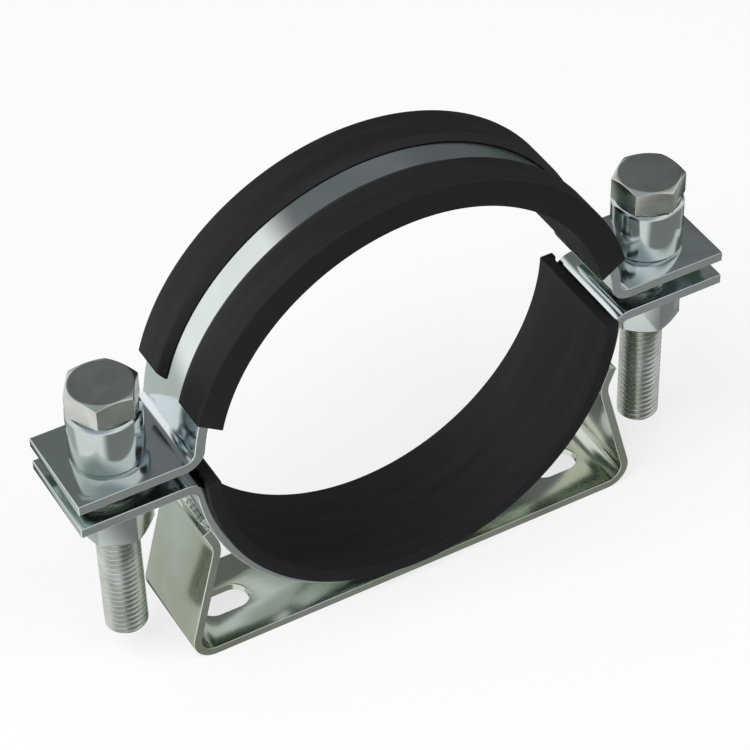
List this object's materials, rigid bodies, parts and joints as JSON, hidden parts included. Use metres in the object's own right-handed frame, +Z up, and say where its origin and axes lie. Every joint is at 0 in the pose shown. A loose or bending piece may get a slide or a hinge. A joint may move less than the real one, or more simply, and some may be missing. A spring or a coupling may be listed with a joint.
{
  "type": "rubber lined pipe clamp",
  "caption": "Pipe clamp with a rubber lined split steel ring, bolted ears with spacer sleeves, and a bent base bracket with slotted holes for fixing the pipe to a flat surface",
  "frame": {"origin": "centre of the base plate's underside", "axes": "+X along the ears towards the right-hand bolt, +Y along the pipe away from the front face, +Z up from the base plate through the pipe axis"},
  "size_m": [0.196, 0.0348, 0.1351],
  "materials": {
    "zinc_strip": "bright zinc plated rolled steel strip, slightly green and blue in its reflections",
    "zinc_turned": "bright zinc plated turned steel",
    "zinc_fastener": "duller grey zinc plating on forged fasteners",
    "rubber_lining": "matt black extruded rubber"
  },
  "bodies": {
    "base": {"base_bracket": "zinc_strip", "lower_band": "zinc_strip", "lower_liner": "rubber_lining", "weld_nut_left": "zinc_fastener", "weld_nut_right": "zinc_fastener"},
    "upper_half": {"upper_band": "zinc_strip", "upper_liner": "rubber_lining", "sleeve_left": "zinc_turned", "sleeve_right": "zinc_turned"},
    "left_bolt": {"bolt_left": "zinc_fastener"},
    "right_bolt": {"bolt_right": "zinc_fastener"}
  },
  "joints": [
    {"name": "upper_half_lift", "type": "slide", "parent": "base", "child": "upper_half", "axis": [0, 0, 1], "range_m": [0, 0.03675]},
    {"name": "left_bolt_turn", "type": "hinge", "parent": "upper_half", "child": "left_bolt", "pos_m": [-0.0825, 0, 0.0679], "axis": [0, 0, 1], "range_deg": [0, 7561]},
    {"name": "right_bolt_turn", "type": "hinge", "parent": "upper_half", "child": "right_bolt", "pos_m": [0.0825, 0, 0.0679], "axis": [0, 0, 1], "range_deg": [0, 7561]}
  ],
  "couplings": [
    {"joint": "left_bolt_turn", "follows": "upper_half_lift", "rad_per_m": 3590.4},
    {"joint": "right_bolt_turn", "follows": "upper_half_lift", "rad_per_m": 3590.4}
  ]
}
